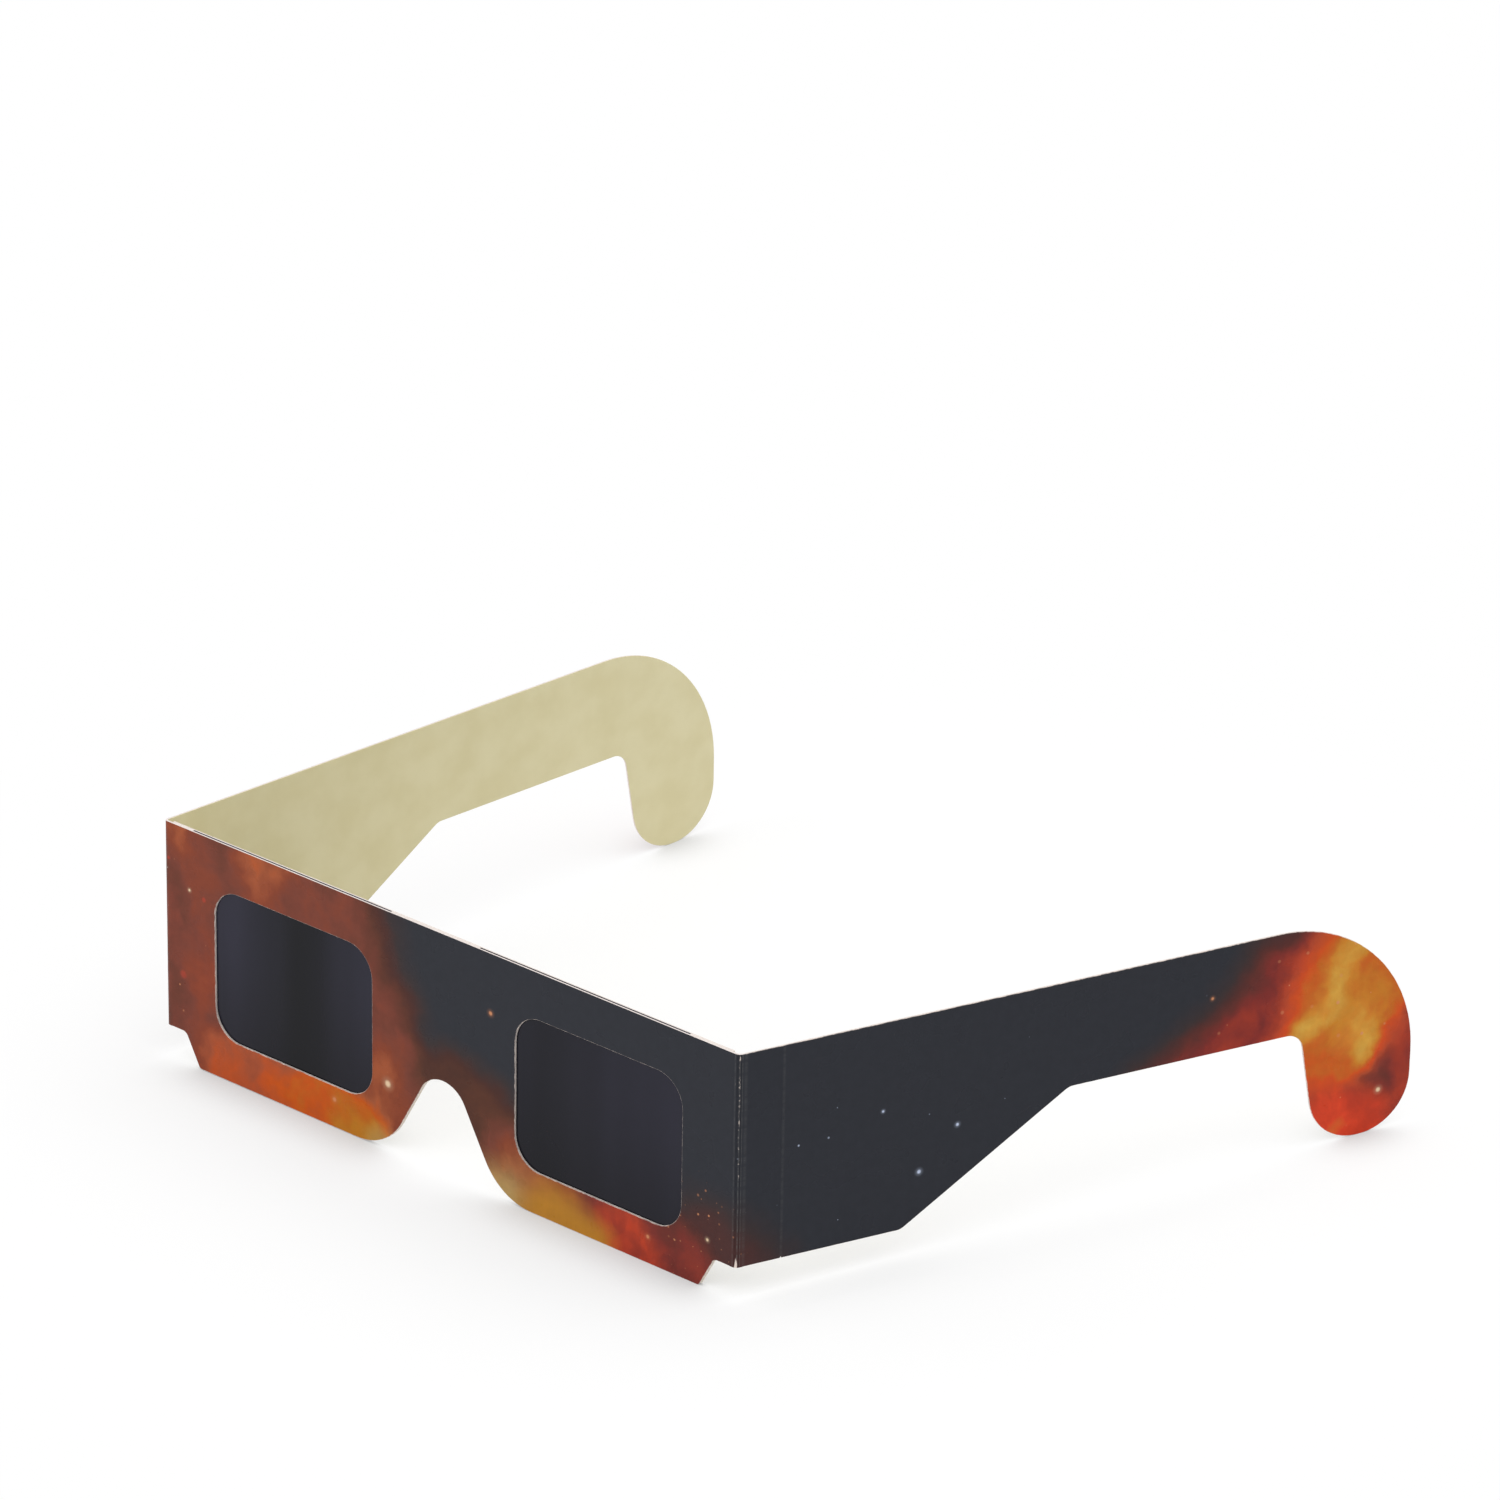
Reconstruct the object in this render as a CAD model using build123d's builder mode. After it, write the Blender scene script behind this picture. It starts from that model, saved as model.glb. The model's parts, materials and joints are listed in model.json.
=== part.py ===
from build123d import *
from math import cos, radians, sin, tan
import os

# Folding card glasses for looking at the sun: one pair, standing open with both temples swung back.
# One printed strip of die-cut card makes the front and the two temples, which turn at scored folds.
# A plain card is glued behind the front, and two dark films lie between them, across the windows.
# Millimetres, +Z up. The printed front faces -Y, the temples go back along +Y, the wearer's left is +X.
# Origin: the middle of the bridge on the printed face, level with the middle of the two windows.
# Left and right in the names are as seen from the front, so the right-hand pieces are on the +X side.

# Sheet stock
card_thickness = 0.45
film_thickness = 0.10

# Front panel: heights are measured up from the foot line, and insets inwards from the fold axes
fold_span = 138.4
strip_height = 47.7
shoulder_height = 6.35
shoulder_inset = 4.2
foot_inset = 7.7
shoulder_corner_radius = 1.4
foot_corner_radius = 0.8

# Windows: the card left round them sets their size
window_end_margin = 12.0
window_top_margin = 9.2
window_foot_margin = 8.3
bridge_width = 35.0
window_corner_radius = 6.0

# Films behind the windows, which lie a little off centre as glued
film_margin = 5.0
film_shift_left = -0.55
film_shift_right = -3.85

# Nose arch: straight flanks between a round crown and two wide round lobes
nose_height = 18.6
nose_flank_angle = 60.6
nose_crown_radius = 6.0
nose_lobe_radius = 12.6

# Folds between the front and the temples: a scored band with a flat strip on each side of its bend
crease_strip = 0.6
fold_clearance = 0.20
back_card_inset = 1.0
left_fold_angle = 95.0
right_fold_angle = 69.5

# Temples: distances are measured from the fold axis, and the tip stops short of the other fold
temple_tip_gap = 1.4
root_length = 32.0
root_corner_radius = 2.5
knee_distance = 65.5
knee_radius = 3.0
arm_height = 20.7
hook_throat_width = 23.7
hook_throat_radius = 3.5
hook_lean = 10.0
hook_drop = 23.15
hook_lobe_share = 0.97
hook_crown_share = 0.866

# Worked out from the sizes above
stack_thickness = 2 * card_thickness + film_thickness
shoulder_reach = fold_span / 2 - shoulder_inset
foot_reach = fold_span / 2 - foot_inset
window_width = (fold_span - bridge_width) / 2 - window_end_margin
window_height = strip_height - window_top_margin - window_foot_margin
window_offset = (bridge_width + window_width) / 2
window_rise = window_foot_margin + window_height / 2
foot_level = -window_rise
film_width = window_width + 2 * film_margin
film_centres = {
    "left": film_shift_left - window_offset,
    "right": film_shift_right + window_offset,
}
nose_apex = nose_height - nose_crown_radius + nose_crown_radius / cos(radians(nose_flank_angle))
nose_flank_foot = nose_apex / tan(radians(nose_flank_angle))

# The left temple folds flat against the back card, and the right one folds flat over the left one
fold_radius_left = (stack_thickness + fold_clearance) / 2
fold_radius_right = fold_radius_left + (card_thickness + fold_clearance) / 2

temple_length = fold_span - temple_tip_gap
arm_underside = strip_height - arm_height
lobe_level = arm_underside - hook_drop
throat_distance = temple_length - hook_throat_width
lobe_inner = throat_distance + hook_drop * tan(radians(hook_lean))
lobe_full_radius = (temple_length - lobe_inner) / (1 + tan(radians((90 - hook_lean) / 2)))
hook_lobe_radius = hook_lobe_share * lobe_full_radius
hook_crown_radius = hook_crown_share * (strip_height - lobe_level - hook_lobe_radius)


def sheet_plane(back_depth):
    """Plane of a sheet's back face: x along the front, y up from the foot line, facing forwards."""
    return Plane(origin=(0, back_depth, foot_level), x_dir=(1, 0, 0), z_dir=(0, -1, 0))


def front_outline(half_length):
    """Draw the die-cut outline of the front: square top, notched lower ends and the nose arch."""
    corners = [
        (-half_length, strip_height, 0),
        (half_length, strip_height, 0),
        (half_length, shoulder_height, 0),
        (shoulder_reach, shoulder_height, shoulder_corner_radius),
        (foot_reach, 0, foot_corner_radius),
        (nose_flank_foot, 0, nose_lobe_radius),
        (0, nose_apex, nose_crown_radius),
        (-nose_flank_foot, 0, nose_lobe_radius),
        (-foot_reach, 0, foot_corner_radius),
        (-shoulder_reach, shoulder_height, shoulder_corner_radius),
        (-half_length, shoulder_height, 0),
    ]
    points = [(across, up) for across, up, _ in corners]
    radii = [corner_radius for _, _, corner_radius in corners]
    FilletPolyline(*points, radius=radii, close=True)


def cut_windows():
    """Cut both round-cornered windows out of the sheet being drawn."""
    with Locations((-window_offset, window_rise), (window_offset, window_rise)):
        RectangleRounded(window_width, window_height, window_corner_radius, mode=Mode.SUBTRACT)


def fold_axis(side, fold_radius):
    """Point on a fold's vertical axis, behind the middle of the front card's thickness."""
    return Vector(side * fold_span / 2, card_thickness / 2 + fold_radius, 0)


def temple_plane(side, fold_angle, fold_radius):
    """Plane of a temple's inner face: x along the temple from its fold axis, y up from the foot line."""
    reach = Vector(side * cos(radians(fold_angle)), sin(radians(fold_angle)), 0)
    outwards = Vector(side * sin(radians(fold_angle)), -cos(radians(fold_angle)), 0)
    start = fold_axis(side, fold_radius) + outwards * (fold_radius - card_thickness / 2)
    return Plane(origin=start + Vector(0, 0, foot_level), x_dir=reach, z_dir=outwards * side)


def temple_outline():
    """Draw a temple: deep root, slanting lower edge, narrow arm and the round hook behind the ear."""
    corners = [
        (crease_strip, strip_height, 0),
        (temple_length, strip_height, hook_crown_radius),
        (temple_length, lobe_level, hook_lobe_radius),
        (lobe_inner, lobe_level, hook_lobe_radius),
        (throat_distance, arm_underside, hook_throat_radius),
        (knee_distance, arm_underside, knee_radius),
        (root_length, shoulder_height, root_corner_radius),
        (crease_strip, shoulder_height, 0),
    ]
    points = [(along, up) for along, up, _ in corners]
    radii = [corner_radius for _, _, corner_radius in corners]
    FilletPolyline(*points, radius=radii, close=True)


os.makedirs("parts", exist_ok=True)

# Printed front card, die-cut in one strip with the temples and square to them at the folds
with BuildPart() as front_card:
    with BuildSketch(sheet_plane(card_thickness)):
        with BuildLine():
            front_outline(fold_span / 2 - crease_strip)
        make_face()
        cut_windows()
    extrude(amount=card_thickness)

front_card.part.label = "front_card"
export_step(front_card.part, "parts/front_card.step")

# Plain back card, stopping short of the folds so that the temples can lie flat behind it
with BuildPart() as back_card:
    with BuildSketch(sheet_plane(stack_thickness)):
        with BuildLine():
            front_outline(fold_span / 2 - back_card_inset)
        make_face()
        cut_windows()
    extrude(amount=card_thickness)

back_card.part.label = "back_card"
export_step(back_card.part, "parts/back_card.step")

# Dark filter films, laminated between the cards and die-cut with them along the top, foot and nose
for film_side, film_centre in film_centres.items():
    with BuildPart() as filter_film:
        with BuildSketch(sheet_plane(card_thickness + film_thickness)):
            with BuildLine():
                front_outline(fold_span / 2 - back_card_inset)
            make_face()
            with Locations((film_centre, strip_height / 2)):
                Rectangle(film_width, strip_height, mode=Mode.INTERSECT)
        extrude(amount=film_thickness)

    filter_film.part.label = f"filter_film_{film_side}"
    export_step(filter_film.part, f"parts/filter_film_{film_side}.step")

# Glue that joins the two cards wherever no film lies between them: two end strips and the bridge
with BuildPart() as glue_sheet:
    with BuildSketch(sheet_plane(card_thickness + film_thickness)):
        with BuildLine():
            front_outline(fold_span / 2 - back_card_inset)
        make_face()
        for film_centre in film_centres.values():
            with Locations((film_centre, strip_height / 2)):
                Rectangle(film_width, strip_height, mode=Mode.SUBTRACT)
    extrude(amount=film_thickness)

glue_sheet.part.label = "glue_sheet"
export_step(glue_sheet.part, "parts/glue_sheet.step")

# The scored folds and the temples, one of each on either side
folds = {
    "left": (-1, left_fold_angle, fold_radius_left),
    "right": (1, right_fold_angle, fold_radius_right),
}
for fold_side, (side, fold_angle, fold_radius) in folds.items():
    # Bent band of the printed card: a flat strip, the round bend about the fold axis, a flat strip
    with BuildPart() as corner_crease:
        with BuildSketch(Plane.XY.offset(foot_level + shoulder_height)):
            with BuildLine() as middle_line:
                bend_start = fold_axis(side, fold_radius) - Vector(0, fold_radius, 0)
                front_strip = Line(bend_start - Vector(side * crease_strip, 0, 0), bend_start)
                bend = JernArc(front_strip @ 1, front_strip % 1, fold_radius, side * fold_angle)
                Line(bend @ 1, bend @ 1 + bend % 1 * crease_strip)
            trace(middle_line.line, line_width=card_thickness)
        extrude(amount=strip_height - shoulder_height)

    corner_crease.part.label = f"corner_crease_{fold_side}"
    export_step(corner_crease.part, f"parts/corner_crease_{fold_side}.step")

    # Temple, cut from the same strip: its top edge runs level with the front's
    with BuildPart() as temple:
        with BuildSketch(temple_plane(side, fold_angle, fold_radius)):
            with BuildLine():
                temple_outline()
            make_face()
        extrude(amount=side * card_thickness)

    temple.part.label = f"temple_{fold_side}"
    export_step(temple.part, f"parts/temple_{fold_side}.step")
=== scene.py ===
import json
from math import cos, pi, radians, sin

import bmesh
import bpy
from mathutils import Matrix, Vector, noise


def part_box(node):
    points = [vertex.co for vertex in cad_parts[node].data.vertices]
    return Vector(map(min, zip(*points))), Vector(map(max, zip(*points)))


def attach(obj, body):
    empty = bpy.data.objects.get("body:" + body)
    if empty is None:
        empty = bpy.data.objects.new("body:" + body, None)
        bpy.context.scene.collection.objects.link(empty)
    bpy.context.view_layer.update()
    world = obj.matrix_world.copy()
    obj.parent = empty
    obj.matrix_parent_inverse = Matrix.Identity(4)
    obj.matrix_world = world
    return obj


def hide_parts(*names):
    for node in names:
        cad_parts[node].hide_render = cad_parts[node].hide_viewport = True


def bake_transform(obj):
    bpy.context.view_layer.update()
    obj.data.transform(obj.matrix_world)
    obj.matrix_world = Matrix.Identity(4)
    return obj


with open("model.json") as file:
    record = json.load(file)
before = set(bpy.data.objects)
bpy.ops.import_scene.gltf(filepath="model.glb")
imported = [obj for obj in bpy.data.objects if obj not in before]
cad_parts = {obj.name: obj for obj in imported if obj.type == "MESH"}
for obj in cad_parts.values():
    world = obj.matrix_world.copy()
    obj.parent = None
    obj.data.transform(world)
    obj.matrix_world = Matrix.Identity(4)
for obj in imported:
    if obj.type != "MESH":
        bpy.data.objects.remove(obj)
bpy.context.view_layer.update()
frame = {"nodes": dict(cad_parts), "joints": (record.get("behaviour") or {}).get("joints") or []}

# Printed front card
# The middle of one long strip of white board, 0.45 mm thick, printed with a glowing night sky, gloss
# laminated and die-cut. Its cut edges show the white board, and its inside is left bare and cream.
MM = 0.001
CARD_THICKNESS = 0.45 * MM
RIM_EASE = 0.08 * MM
OPEN_RIM = 0.15 * MM
front_low, front_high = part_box("front_card")
foot_level = front_low.z


def ink_colour(code):
    """The linear colour of a six-figure ink code such as 'b85a26', by the sRGB curve."""
    shares = [int(code[i:i + 2], 16) / 255 for i in (0, 2, 4)]
    linear = [share / 12.92 if share < 0.04045 else ((share + 0.055) / 1.055) ** 2.4 for share in shares]
    return (*linear, 1.0)


def fill_sockets(tree, made, sockets):
    """Join or fill a node's inputs, by name or by number."""
    for name, value in sockets.items():
        if isinstance(value, bpy.types.NodeSocket):
            tree.links.new(value, made.inputs[name])
        else:
            made.inputs[name].default_value = value


def place_node(tree, kind, sockets=None, **settings):
    """Add a node to a tree, set its choices, and join or fill its inputs."""
    made = tree.nodes.new(kind)
    for name, value in settings.items():
        setattr(made, name, value)
    fill_sockets(tree, made, sockets or {})
    return made


def calculate(tree, operation, first, second=0.0, clamp=False):
    """One sum on single values."""
    return place_node(tree, "ShaderNodeMath", {0: first, 1: second},
                      operation=operation, use_clamp=clamp).outputs[0]


def move(tree, operation, first, second):
    """One sum on places, each of three numbers."""
    made = place_node(tree, "ShaderNodeVectorMath", {0: first, 1: second}, operation=operation)
    return made.outputs["Vector"]


def distance(tree, first, second):
    """How far apart two places are."""
    made = place_node(tree, "ShaderNodeVectorMath", {0: first, 1: second}, operation="DISTANCE")
    return made.outputs["Value"]


def split(tree, place):
    """The three numbers of a place, by their letters."""
    return place_node(tree, "ShaderNodeSeparateXYZ", {0: place}).outputs


def ease(tree, value, low, high, to_low=0.0, to_high=1.0):
    """A value carried smoothly from one range to another."""
    sockets = {"Value": value, "From Min": low, "From Max": high, "To Min": to_low, "To Max": to_high}
    made = place_node(tree, "ShaderNodeMapRange", sockets, interpolation_type="SMOOTHSTEP")
    return made.outputs["Result"]


# Where the Mix node has its two inputs and its result for each kind of value
MIX_SOCKETS = {"VECTOR": (4, 5, 1), "RGBA": (6, 7, 2)}


def mix(tree, share, first, second, kind="RGBA", how="MIX"):
    """Two colours or two places mixed by a share."""
    first_input, second_input, result = MIX_SOCKETS[kind]
    made = place_node(tree, "ShaderNodeMix", {0: share, first_input: first, second_input: second},
                      data_type=kind, blend_type=how, clamp_factor=True)
    return made.outputs[result]


def clouds(tree, place, scale, detail=4.0, roughness=0.5, output="Fac"):
    """Cloudy noise, with a number of clouds to the unit."""
    sockets = {"Vector": place, "Scale": scale, "Detail": detail, "Roughness": roughness}
    return place_node(tree, "ShaderNodeTexNoise", sockets).outputs[output]


def colour_scale(tree, value, stops):
    """Colours read off a scale of places and ink codes."""
    made = place_node(tree, "ShaderNodeValToRGB", {"Fac": value})
    scale = made.color_ramp.elements
    scale[0].position, scale[1].position = stops[0][0], stops[-1][0]
    scale[0].color, scale[1].color = ink_colour(stops[0][1]), ink_colour(stops[-1][1])
    for place, code in stops[1:-1]:
        scale.new(place).color = ink_colour(code)
    return made.outputs["Color"]


def start_material(name):
    """A material with an empty tree but for its Principled BSDF."""
    made = bpy.data.materials.new(name)
    made.use_nodes = True
    return made, made.node_tree, made.node_tree.nodes["Principled BSDF"]


def strip_place(tree):
    """Where a point lies on the flat strip, in millimetres: across, up and deep."""
    return place_node(tree, "ShaderNodeAttribute", attribute_name="blank").outputs["Vector"]


def relief(tree, height, metres):
    """A surface raised by a height, of which 1 stands for so many metres."""
    return place_node(tree, "ShaderNodeBump", {"Height": height, "Distance": metres}).outputs["Normal"]


FLOAT, VECTOR = "NodeSocketFloat", "NodeSocketVector"


def start_group(name, inputs, outputs):
    """A node group with named sockets: gives the tree, its inputs and its output node."""
    tree = bpy.data.node_groups.new(name, "ShaderNodeTree")
    for socket, kind, start in inputs:
        made = tree.interface.new_socket(name=socket, in_out="INPUT", socket_type=kind)
        made.default_value = start
    for socket in outputs:
        tree.interface.new_socket(name=socket, in_out="OUTPUT", socket_type=FLOAT)
    return tree, tree.nodes.new("NodeGroupInput").outputs, tree.nodes.new("NodeGroupOutput")


def use_group(tree, group, sockets):
    """Place a group in a material, with its own values."""
    return place_node(tree, "ShaderNodeGroup", sockets, node_tree=group).outputs


# A cloud of ink: an ellipse that may lean, solid in its core and soft to its rim
ink_cloud, given, out = start_group(
    "ink_cloud",
    [("Place", VECTOR, (0, 0, 0)), ("Centre", VECTOR, (0, 0, 0)), ("Reach", VECTOR, (10, 10, 1)),
     ("Lean", FLOAT, 0.0), ("Core", FLOAT, 0.25)],
    ["Mask"])
from_centre = split(ink_cloud, move(ink_cloud, "SUBTRACT", given["Place"], given["Centre"]))
leaning = calculate(ink_cloud, "MULTIPLY", from_centre["Y"], given["Lean"])
upright = calculate(ink_cloud, "SUBTRACT", from_centre["X"], leaning)
upright = place_node(ink_cloud, "ShaderNodeCombineXYZ", {"X": upright, "Y": from_centre["Y"]}).outputs[0]
spread = distance(ink_cloud, move(ink_cloud, "DIVIDE", upright, given["Reach"]), (0, 0, 0))
fill_sockets(ink_cloud, out, {"Mask": ease(ink_cloud, spread, given["Core"], 1.0, 1.0, 0.0)})


def cloud_mask(tree, place, middle, reach, core, lean=0.0):
    """One cloud of ink on the strip: its middle and its reach, across and up."""
    return use_group(tree, ink_cloud, {"Place": place, "Centre": (*middle, 0), "Reach": (*reach, 1),
                                       "Lean": lean, "Core": core})["Mask"]


def lay_ink(tree, colour, ink, mask, strength):
    """A colour with an ink laid over it, as strongly as a mask and a strength say."""
    return mix(tree, calculate(tree, "MULTIPLY", mask, strength), colour, ink)


# Specks of ink for stars: one to a cell, some left out, each of its own size and brightness
SMALLEST_SHARE, SOLID_SHARE = 0.35, 0.35
FAINTEST, BRIGHTEST = 0.25, 0.9
star_field, given, out = start_group(
    "star_field",
    [("Place", VECTOR, (0, 0, 0)), ("Spacing", FLOAT, 6.0), ("Size", FLOAT, 0.4), ("Share", FLOAT, 0.5)],
    ["Mask"])
cells_to_unit = calculate(star_field, "DIVIDE", 1.0, given["Spacing"])
cells = place_node(star_field, "ShaderNodeTexVoronoi", {"Vector": given["Place"], "Scale": cells_to_unit},
                   voronoi_dimensions="2D", feature="F1").outputs
chance = place_node(star_field, "ShaderNodeSeparateColor", {0: cells["Color"]}).outputs
size_share = ease(star_field, chance[0], 0.2, 1.0, SMALLEST_SHARE, 1.0)
own_size = calculate(star_field, "MULTIPLY", given["Size"], size_share)
solid_size = calculate(star_field, "MULTIPLY", own_size, SOLID_SHARE)
away = calculate(star_field, "MULTIPLY", cells["Distance"], given["Spacing"])
disc = ease(star_field, away, solid_size, own_size, 1.0, 0.0)
kept = calculate(star_field, "LESS_THAN", chance[1], given["Share"])
brightness = ease(star_field, chance[2], 0.0, 1.0, FAINTEST, BRIGHTEST)
bright = calculate(star_field, "MULTIPLY", kept, brightness)
fill_sockets(star_field, out, {"Mask": calculate(star_field, "MULTIPLY", disc, bright)})

# A scored line along one place on the strip, for painted shade and painted highlight: it wavers and
# fades in patches, and its ink cracks in flecks
WAVER = 0.16
PATCHY_BELOW, WHOLE_ABOVE, FAINTEST_PATCH = 0.38, 0.60, 0.25
CRACKS_LOW, CRACKS_HIGH, CRACKED_LOW_SHARE = 14.0, 38.0, 0.5
WHOLE_INK, TORN_INK = 0.74, 0.82
# Cloudy noise along a line: clouds to the millimetre, detail, roughness
BENDS, PATCHES, FLECKS = (0.3, 2.0), (0.9, 4.0, 0.7), (1.0, 4.0, 0.65)
FLECK_STRETCH = (1.7, 1.0, 1.0)
scored_line, given, out = start_group(
    "scored_line",
    [("Place", VECTOR, (0, 0, 0)), ("At", FLOAT, 69.2), ("Width", FLOAT, 0.2), ("Cracking", FLOAT, 0.5)],
    ["Line", "Cracks"])
along = split(scored_line, given["Place"])
up_only = move(scored_line, "MULTIPLY", given["Place"], (0, 1, 0))
either_way = calculate(scored_line, "SUBTRACT", clouds(scored_line, up_only, *BENDS), 0.5)
waver = calculate(scored_line, "MULTIPLY", either_way, WAVER)
outwards = calculate(scored_line, "ADD", calculate(scored_line, "ABSOLUTE", along["X"]), waver)
offset = calculate(scored_line, "ABSOLUTE", calculate(scored_line, "SUBTRACT", outwards, given["At"]))
patchy = ease(scored_line, clouds(scored_line, up_only, *PATCHES), PATCHY_BELOW, WHOLE_ABOVE, FAINTEST_PATCH, 1.0)
line = calculate(scored_line, "MULTIPLY", ease(scored_line, offset, 0.0, given["Width"], 1.0, 0.0), patchy)
flecks = clouds(scored_line, move(scored_line, "MULTIPLY", given["Place"], FLECK_STRETCH), *FLECKS)
cracking = calculate(scored_line, "MULTIPLY", given["Cracking"],
                     ease(scored_line, along["Y"], CRACKS_LOW, CRACKS_HIGH, CRACKED_LOW_SHARE, 1.0))
torn = ease(scored_line, flecks, calculate(scored_line, "SUBTRACT", WHOLE_INK, cracking),
            calculate(scored_line, "SUBTRACT", TORN_INK, cracking))
cracks = calculate(scored_line, "MULTIPLY", line, torn, clamp=True)
fill_sockets(scored_line, out, {"Line": line, "Cracks": cracks})

# Two scales of ink, from the dark of the night up to its hottest glow: by way of brown, and by way of red
BROWN_GLOW = ((0.0, "2a2c33"), (0.1, "322d2e"), (0.22, "44281e"), (0.3, "553322"), (0.42, "733e2e"),
              (0.5, "803f26"), (0.58, "9c5431"), (0.7, "c05404"), (0.78, "b66310"), (0.86, "bb7a16"),
              (0.93, "b3843a"), (1.0, "ae9058"))
RED_GLOW = ((0.0, "2a2c33"), (0.1, "3c2b2c"), (0.26, "5f2927"), (0.38, "7d2724"), (0.5, "9f3322"),
            (0.62, "c23a20"), (0.7, "d64224"), (0.8, "d0702c"), (0.9, "d49436"), (1.0, "e0b040"))
# The glow on the flat strip, one cloud laid over another: heat, redness, middle across and up, reach
# across and up, lean, core, strength
GLOW = [
    (0.42, 0.15, -55, 26, 55, 90, -0.3, 0.72, 1.00),
    (0.62, 0.10, -66, 47, 6, 11, 0.0, 0.15, 0.95),
    (0.60, 0.10, -44, 47, 11, 12, 0.4, 0.20, 0.90),
    (0.50, 0.25, -61, 21, 6, 17, 0.1, 0.20, 0.80),
    (0.33, 0.35, -71, 26, 7, 15, 0.0, 0.20, 0.90),
    (0.34, 0.30, -70, 10, 8, 12, 0.0, 0.30, 0.60),
    (0.53, 0.10, -13, 13, 12, 14, 0.2, 0.25, 0.95),
    (0.61, 0.25, -47, 1, 20, 14, 0.0, 0.55, 1.00),
    (0.70, 0.12, -31, 2, 16, 14, 0.0, 0.50, 1.00),
    (0.80, 0.00, -19, 0, 11, 13, 0.0, 0.40, 1.00),
    (0.28, 0.10, 3, 19, 17, 10, 0.0, 0.30, 0.90),
    (0.34, 0.10, 14, 10, 12, 13, -0.3, 0.30, 0.95),
    (0.22, 0.60, 64, 8, 16, 15, 0.0, 0.20, 0.80),
    (0.57, 0.00, 26, 1, 26, 16, 0.0, 0.55, 0.95),
    (0.38, 0.70, 50, 2, 24, 16, -0.8, 0.55, 0.95),
    (0.56, 0.85, 46, 0, 11, 14, -0.3, 0.45, 0.95),
    (0.18, 0.70, 74, 5, 10, 12, 0.0, 0.20, 0.80),
    (0.41, 0.90, 184, 30, 38, 44, 1.1, 0.42, 1.00),
    (0.52, 1.00, 180, 26, 14, 9, 0.6, 0.20, 0.85),
    (0.78, 0.35, 197, 34, 22, 31, 0.3, 0.45, 1.00),
    (0.98, 0.85, 192, 36, 6, 17, 0.7, 0.15, 0.70),
    (0.98, 0.85, 197, 24, 7, 9, -0.3, 0.10, 0.85),
    (0.96, 0.80, 187, 29, 6, 5, 0.4, 0.10, 0.80),
    (0.69, 1.00, 192, 4, 18, 14, 0.0, 0.50, 0.95),
    (0.53, 0.90, 213, 10, 15, 23, 0.0, 0.45, 0.95),
    (0.40, 0.20, -80, 24, 26, 40, 0.0, 0.30, 0.95),
    (0.40, 0.90, -182, 30, 40, 44, -1.2, 0.40, 1.00),
    (0.78, 0.35, -199, 34, 22, 31, -0.3, 0.45, 1.00),
    (0.99, 0.85, -190, 32, 7, 16, -0.6, 0.15, 0.85),
    (0.96, 0.80, -199, 20, 8, 9, 0.5, 0.10, 0.80),
    (0.69, 1.00, -192, 4, 18, 14, 0.0, 0.50, 0.95),
    (0.53, 0.90, -213, 10, 15, 23, 0.0, 0.45, 0.95),
]
# Where none of it lies there is no heat, and the ink is halfway from brown to red
NO_GLOW = (0.0, 0.5, 0.0)
# Pale gold laid over the glow beside the nose arch: ink, middle across and up, reach across and up,
# strength
GOLD_DUST = [
    ("b5965c", 14, -2, 14, 13, 0.90), ("b77f28", 29, -1, 14, 12, 0.95), ("b87e24", 37, -2, 7, 10, 0.85),
    ("b87e1e", -21, -2, 10, 8, 0.60), ("ae8c4c", -14, -2, 8, 9, 0.75),
]
GOLD_CORE = 0.3
WARM_STAR, COLD_STAR = ink_colour("e8cda8"), ink_colour("c3cfe8")
COPPER_STAR, EMBER = ink_colour("d08c62"), ink_colour("b83c2a")
# Fields of small stars: spacing, size, share kept, ink, middle and reach of the field
STAR_FIELDS = [
    (5.5, 0.28, 0.10, COLD_STAR, (120, 20), (60, 40)),
    (5.5, 0.28, 0.14, COLD_STAR, (-140, 30), (50, 40)),
    (1.7, 0.30, 0.30, COPPER_STAR, (62, 8), (11, 15)),
    (3.4, 0.36, 0.35, COPPER_STAR, (60, 9), (14, 16)),
    (5.0, 0.30, 0.14, COPPER_STAR, (-52, 26), (50, 40)),
    (8.0, 1.20, 0.40, EMBER, (-66, 30), (14, 18)),
    (6.0, 0.50, 0.35, COPPER_STAR, (184, 26), (30, 30)),
]
FIELD_CORE = 0.5
# Large stars: ink, middle across and up, size
BRIGHT_STARS = [
    (WARM_STAR, -13.6, 13.4, 0.90), (COPPER_STAR, -27.0, 5.6, 0.60), (WARM_STAR, -63.6, 35.6, 0.38),
    (COPPER_STAR, 11.6, 36.0, 0.55), (COPPER_STAR, 49.5, 5.2, 0.50), (WARM_STAR, 63.4, 9.6, 0.42),
    (COLD_STAR, 106.0, 17.0, 0.52), (COLD_STAR, 113.5, 24.6, 0.42), (COLD_STAR, 98.5, 30.5, 0.32),
    (WARM_STAR, 201.0, 12.0, 0.62), (COPPER_STAR, 165.0, 38.0, 0.40), (COLD_STAR, -112.0, 20.0, 0.50),
    (COLD_STAR, -121.5, 29.0, 0.38), (COLD_STAR, -104.0, 39.5, 0.32), (WARM_STAR, -199.0, 26.0, 0.60),
]
# The two parts of a large star, its halo and its disc: share of its size, core, strength
STAR_PARTS = ((2.2, 0.0, 0.22), (1.0, 0.3, 0.88))
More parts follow.
